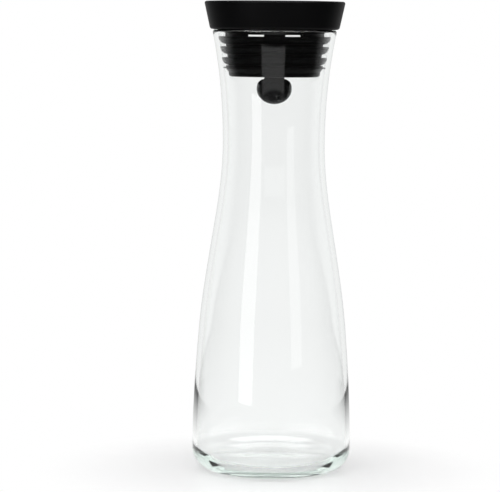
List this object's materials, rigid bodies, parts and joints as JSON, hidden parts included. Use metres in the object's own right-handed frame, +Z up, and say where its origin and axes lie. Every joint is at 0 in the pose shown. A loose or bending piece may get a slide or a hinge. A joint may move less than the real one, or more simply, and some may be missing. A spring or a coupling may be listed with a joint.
{
  "type": "glass carafe with lid",
  "caption": "Waisted clear glass carafe with a black conical collar, a finned stopper and a round flap that a pendulum weight tilts open when pouring.",
  "frame": {"origin": "centre of the base, on the surface that the carafe stands on", "axes": "+Z up along the axis of the glass; the hinge pin of the flap runs along X"},
  "size_m": [0.098, 0.098, 0.29],
  "materials": {
    "clear_glass": "clear, fire-polished",
    "soft_black": "soft matt black",
    "moulded_black": "satin moulded black",
    "gloss_black": "smooth gloss black",
    "silicone": "soft black silicone",
    "bush_plastic": "natural bearing plastic",
    "steel": "stainless steel"
  },
  "bodies": {
    "carafe": {"glass_body": "clear_glass"},
    "lid": {"collar_shell": "soft_black", "collar_carrier": "moulded_black", "rim_gasket": "silicone", "stopper_core": "moulded_black", "stopper_sleeve": "silicone", "core_retainer": "moulded_black", "lid_screws": "steel", "hinge_bushes": "bush_plastic"},
    "flap": {"hinge_pin": "steel", "flap_disc": "soft_black", "flap_gasket": "silicone", "flap_base": "moulded_black", "flap_screws": "steel", "pendulum_arm": "gloss_black", "arm_screws": "steel", "weight_shell_front": "gloss_black", "weight_shell_rear": "gloss_black", "weight_slug": "steel", "weight_screw": "steel"}
  },
  "joints": [
    {"name": "lid_lift", "type": "slide", "parent": "carafe", "child": "lid", "axis": [0, 0, 1], "range_m": [0, 0.09]},
    {"name": "flap_tilt", "type": "hinge", "parent": "lid", "child": "flap", "pos_m": [0, 0, 0.281], "axis": [-1, 0, 0], "range_deg": [-19, 19]}
  ]
}
